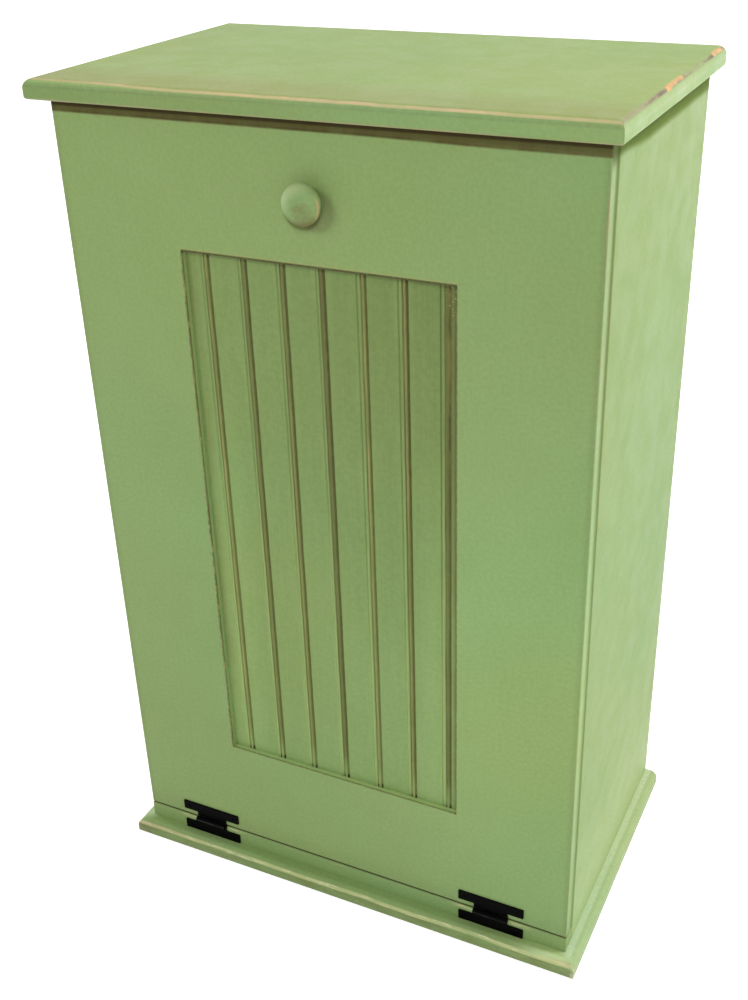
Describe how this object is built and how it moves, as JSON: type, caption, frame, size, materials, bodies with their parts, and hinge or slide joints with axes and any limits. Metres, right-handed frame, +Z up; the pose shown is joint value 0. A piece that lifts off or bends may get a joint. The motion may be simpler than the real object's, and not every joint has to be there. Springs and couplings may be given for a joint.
{
  "type": "tilt-out trash bin holder",
  "caption": "Wooden kitchen trash bin cabinet whose beadboard front tilts out on hinges at its bottom edge, carrying a cradle that holds a tall bin.",
  "frame": {"origin": "on the floor, at the centre of the overall footprint with the knob included", "axes": "+X to the right seen from the front, +Y from the door to the back, +Z up"},
  "size_m": [0.5704, 0.3556, 0.918],
  "materials": {
    "sage_milk_paint": "sage green milk paint over pine, edges rubbed through, brown glaze in the grooves",
    "bare_pine": "sanded, unfinished pine",
    "back_plywood": "unfinished plywood",
    "black_hinge_steel": "satin black",
    "zinc_steel": "zinc plated",
    "catch_plastic": "moulded",
    "ferrite_magnet": "matt",
    "felt_bumper": "pressed felt"
  },
  "bodies": {
    "cabinet": {"back_panel": "back_plywood", "back_panel_nails": "zinc_steel", "base_board": "sage_milk_paint", "base_cleat_back": "bare_pine", "base_cleat_left": "bare_pine", "base_cleat_right": "bare_pine", "base_screws": "zinc_steel", "catch_case": "catch_plastic", "catch_magnet": "ferrite_magnet", "catch_screws": "zinc_steel", "cleat_screws": "zinc_steel", "corner_cleat_left": "bare_pine", "corner_cleat_right": "bare_pine", "hinge_leaf_lower_left": "black_hinge_steel", "hinge_leaf_lower_right": "black_hinge_steel", "hinge_pin_left": "black_hinge_steel", "hinge_pin_right": "black_hinge_steel", "hinge_screws_lower": "black_hinge_steel", "side_panel_left": "sage_milk_paint", "side_panel_right": "sage_milk_paint", "stretcher_dowels": "bare_pine", "toe_rail": "sage_milk_paint", "toe_rail_screws": "zinc_steel", "top_board": "sage_milk_paint", "top_screws": "zinc_steel", "top_stretcher_back": "bare_pine", "top_stretcher_front": "bare_pine"},
    "door": {"door_stile_left": "sage_milk_paint", "door_stile_right": "sage_milk_paint", "door_rail_top": "sage_milk_paint", "door_rail_bottom": "sage_milk_paint", "beadboard_panel": "sage_milk_paint", "knob": "sage_milk_paint", "knob_screw": "zinc_steel", "hinge_leaf_upper_left": "black_hinge_steel", "hinge_leaf_upper_right": "black_hinge_steel", "hinge_screws_upper": "black_hinge_steel", "bin_shelf": "bare_pine", "cradle_side_left": "bare_pine", "cradle_side_right": "bare_pine", "cradle_back_rail": "bare_pine", "cradle_cleat_left": "bare_pine", "cradle_cleat_right": "bare_pine", "cradle_screws": "zinc_steel", "cradle_cleat_screws": "zinc_steel", "catch_plate": "zinc_steel", "catch_plate_screw": "zinc_steel", "door_bumpers": "felt_bumper"}
  },
  "joints": [
    {"name": "door_tilt", "type": "hinge", "parent": "cabinet", "child": "door", "pos_m": [0, -0.15675, 0.0406], "axis": [1, 0, 0], "range_deg": [0, 39.5]}
  ]
}
